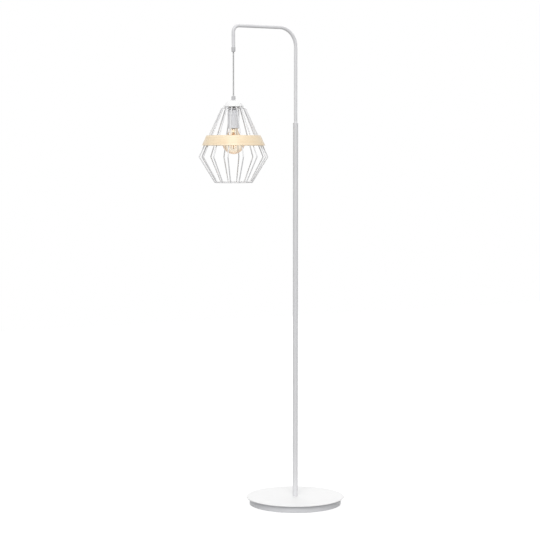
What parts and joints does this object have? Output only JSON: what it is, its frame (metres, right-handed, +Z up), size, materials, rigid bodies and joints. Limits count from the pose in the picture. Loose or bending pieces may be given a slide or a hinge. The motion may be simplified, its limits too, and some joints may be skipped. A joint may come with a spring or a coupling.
{
  "type": "wire cage floor lamp",
  "caption": "Floor lamp with a round weighted base, a slim pole, a bent arm and a hanging wire cage shade with a wooden band around a globe bulb.",
  "frame": {"origin": "on the pole's axis at the underside of the foot pad, which rests on the floor", "axes": "+Z up along the pole; the arm reaches from the pole towards -X, and the shade hangs at its end; +Y is to the left of someone who looks from the pole along the arm's opposite direction, +X"},
  "size_m": [0.5433, 0.35, 1.7],
  "materials": {
    "foam_pad": "soft matt foam",
    "cast_iron": "rough casting",
    "white_drum": "satin powder coat",
    "white_plate": "satin powder coat",
    "zinc_steel": "zinc plated",
    "rubber_black": "matt",
    "white_pole": "satin powder coat",
    "nylon": "matt",
    "cable_sheath": "matt",
    "white_arm": "satin powder coat",
    "white_grip": "satin powder coat",
    "cord_textile": "fine braid",
    "white_cap": "satin powder coat",
    "white_wire": "satin powder coat",
    "ash_wood": "clear matt lacquer, fine straight grain",
    "grey_holder": "satin",
    "ceramic_insert": "glazed",
    "brass": "plain",
    "amber_glass": "clear amber",
    "clear_glass": "clear",
    "filament_phosphor": "matt",
    "nickel_cap": "nickel plated",
    "black_glass": "glossy",
    "solder_tip": "solder"
  },
  "bodies": {
    "base": {"foot_pad": "foam_pad", "base_weight": "cast_iron", "base_drum": "white_drum", "base_plate": "white_plate", "base_rod": "zinc_steel", "base_washer": "zinc_steel", "base_nut": "zinc_steel", "cable_grommet": "rubber_black", "pole_foot_insert": "zinc_steel", "pole_lower": "white_pole", "pole_joiner": "zinc_steel", "pole_upper": "white_pole", "pole_collar": "white_pole", "swivel_bush": "nylon", "supply_cable_pole": "cable_sheath"},
    "arm": {"arm_tube": "white_arm", "arm_keeper_ring": "zinc_steel", "supply_cable_arm": "cable_sheath", "arm_end_nut": "white_grip", "arm_cord_grip": "white_grip", "arm_grip_screw": "nylon"},
    "cord": {"pendant_cord": "cord_textile"},
    "shade": {"cap_cord_grip": "white_grip", "cap_grip_screw": "nylon", "shade_nipple": "zinc_steel", "nipple_nuts": "zinc_steel", "canopy_cap": "white_cap", "cage_hub": "white_wire", "cage_wire_01": "white_wire", "cage_wire_02": "white_wire", "cage_wire_03": "white_wire", "cage_wire_04": "white_wire", "cage_wire_05": "white_wire", "cage_wire_06": "white_wire", "cage_wire_07": "white_wire", "cage_wire_08": "white_wire", "cage_wire_09": "white_wire", "cage_wire_10": "white_wire", "cage_wire_11": "white_wire", "cage_wire_12": "white_wire", "cage_wire_13": "white_wire", "cage_wire_14": "white_wire", "cage_bottom_ring": "white_wire", "wood_band": "ash_wood", "lampholder_lead": "cable_sheath", "lampholder_dome": "grey_holder", "lampholder_sleeve": "grey_holder", "lampholder_ring": "grey_holder", "lampholder_insert": "ceramic_insert", "screw_shell": "brass", "centre_contact": "brass", "terminal_screws": "zinc_steel"},
    "bulb": {"bulb_glass": "amber_glass", "bulb_stem": "clear_glass", "bulb_filaments": "filament_phosphor", "bulb_cap": "nickel_cap", "bulb_insulator": "black_glass", "bulb_contact": "solder_tip"}
  },
  "joints": [
    {"name": "arm_swivel", "type": "hinge", "parent": "base", "child": "arm", "pos_m": [0, 0, 1.345], "axis": [0, 0, 1], "range_deg": [-170, 170]},
    {"name": "cord_swing", "type": "hinge", "parent": "arm", "child": "cord", "pos_m": [-0.248, 0, 1.6065], "axis": [0, 1, 0], "range_deg": [-16, 25]},
    {"name": "shade_tilt", "type": "hinge", "parent": "cord", "child": "shade", "pos_m": [-0.248, 0, 1.4476], "axis": [1, 0, 0], "range_deg": [-15, 15]},
    {"name": "bulb_turn", "type": "hinge", "parent": "shade", "child": "bulb", "pos_m": [-0.248, 0, 1.36], "axis": [0, 0, -1], "range_deg": [0, 720]}
  ]
}
